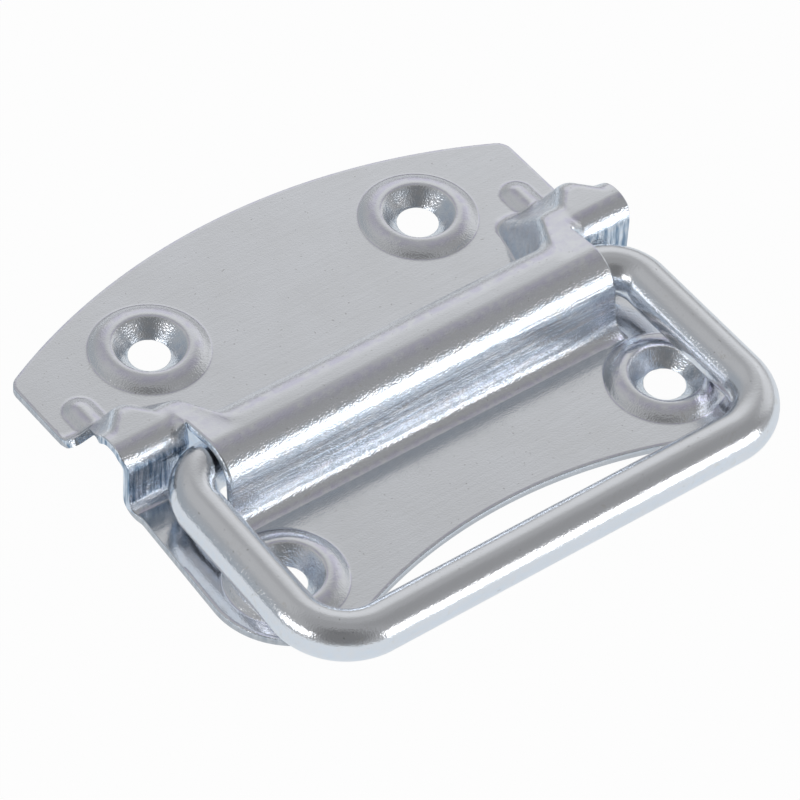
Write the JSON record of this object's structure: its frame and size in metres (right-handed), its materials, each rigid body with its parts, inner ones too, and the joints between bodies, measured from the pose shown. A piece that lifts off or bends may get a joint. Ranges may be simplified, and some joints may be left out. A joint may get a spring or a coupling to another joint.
{
  "type": "chest handle",
  "caption": "Pressed steel chest handle: a round wire drop handle swings in a raised channel of a countersunk, arched back plate and stops against its ears.",
  "frame": {"origin": "On the back face of the plate, midway between the two upper screw holes.", "axes": "+X runs along the pivot bar, +Y points to the arched top edge of the plate, and +Z points out of the chest, away from the back face."},
  "size_m": [0.0874, 0.081, 0.0123],
  "materials": {
    "plated_sheet": "bright zinc plating on pressed sheet steel, satin on the flats and shiny on the bends",
    "plated_wire": "bright zinc plating on drawn and bent steel wire"
  },
  "bodies": {
    "plate": {"back_plate": "plated_sheet"},
    "handle": {"drop_handle": "plated_wire"}
  },
  "joints": [
    {"name": "handle_swing", "type": "hinge", "parent": "plate", "child": "handle", "pos_m": [0, -0.0266, 0.0071], "axis": [-1, 0, 0], "range_deg": [0, 102]}
  ]
}
